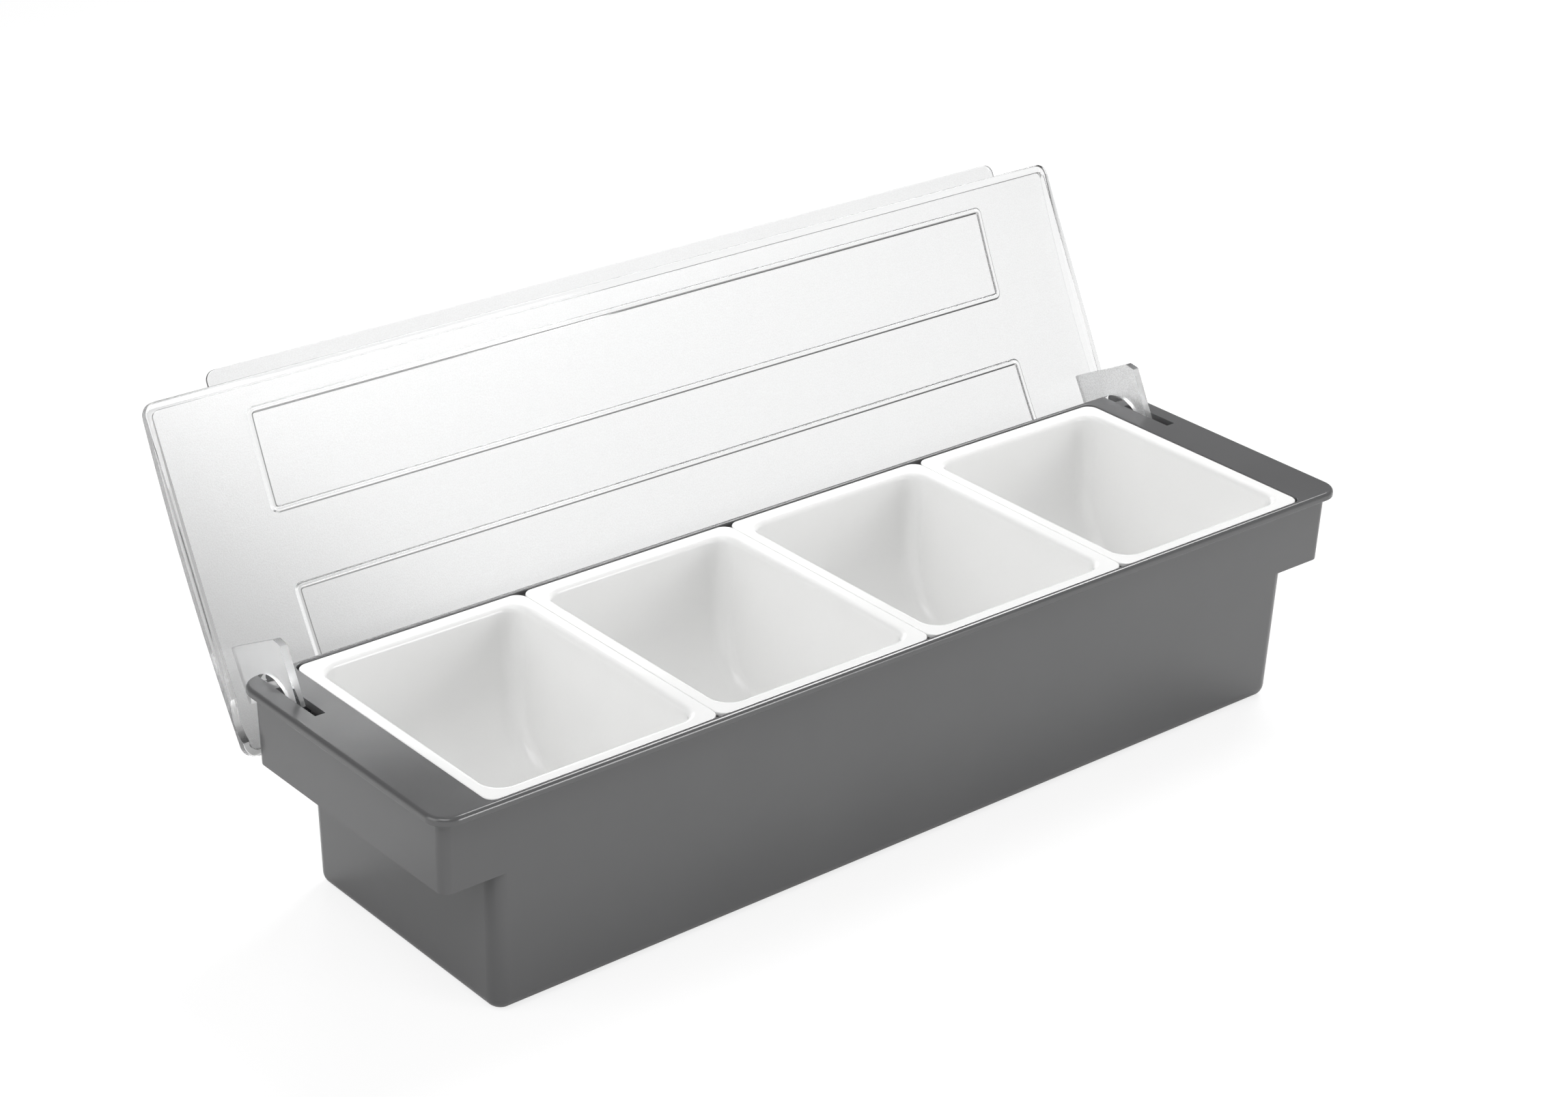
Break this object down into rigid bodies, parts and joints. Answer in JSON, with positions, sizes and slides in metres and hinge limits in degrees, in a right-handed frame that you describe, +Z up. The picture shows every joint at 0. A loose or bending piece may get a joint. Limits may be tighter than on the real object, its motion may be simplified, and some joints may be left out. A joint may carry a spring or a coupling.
{
  "type": "condiment caddy",
  "caption": "Long condiment caddy: moulded housing with skirted end grips, lift-out inserts with scooped floors, and a full-length clear lid that swings back on moulded hooks.",
  "frame": {"origin": "centre of the housing's flat underside", "axes": "+X along the length to the right as seen from the front, +Y to the rear where the lid hinges, +Z up"},
  "size_m": [0.495, 0.21, 0.2024],
  "materials": {
    "housing_plastic": "fine satin, charcoal",
    "insert_plastic": "gloss, white",
    "clear_plastic": "clear, with a fine pebble on the inside"
  },
  "bodies": {
    "housing": {"housing": "housing_plastic"},
    "lid": {"lid": "clear_plastic"},
    "insert_1": {"insert_1": "insert_plastic"},
    "insert_2": {"insert_2": "insert_plastic"},
    "insert_3": {"insert_3": "insert_plastic"},
    "insert_4": {"insert_4": "insert_plastic"}
  },
  "joints": [
    {"name": "lid_hinge", "type": "hinge", "parent": "housing", "child": "lid", "pos_m": [0, 0.06, 0.0869], "axis": [-1, 0, 0], "range_deg": [-117.4, 0]},
    {"name": "insert_1_lift", "type": "slide", "parent": "housing", "child": "insert_1", "axis": [0, 0, 1], "range_m": [0, 0.098]},
    {"name": "insert_2_lift", "type": "slide", "parent": "housing", "child": "insert_2", "axis": [0, 0, 1], "range_m": [0, 0.098]},
    {"name": "insert_3_lift", "type": "slide", "parent": "housing", "child": "insert_3", "axis": [0, 0, 1], "range_m": [0, 0.098]},
    {"name": "insert_4_lift", "type": "slide", "parent": "housing", "child": "insert_4", "axis": [0, 0, 1], "range_m": [0, 0.098]}
  ]
}
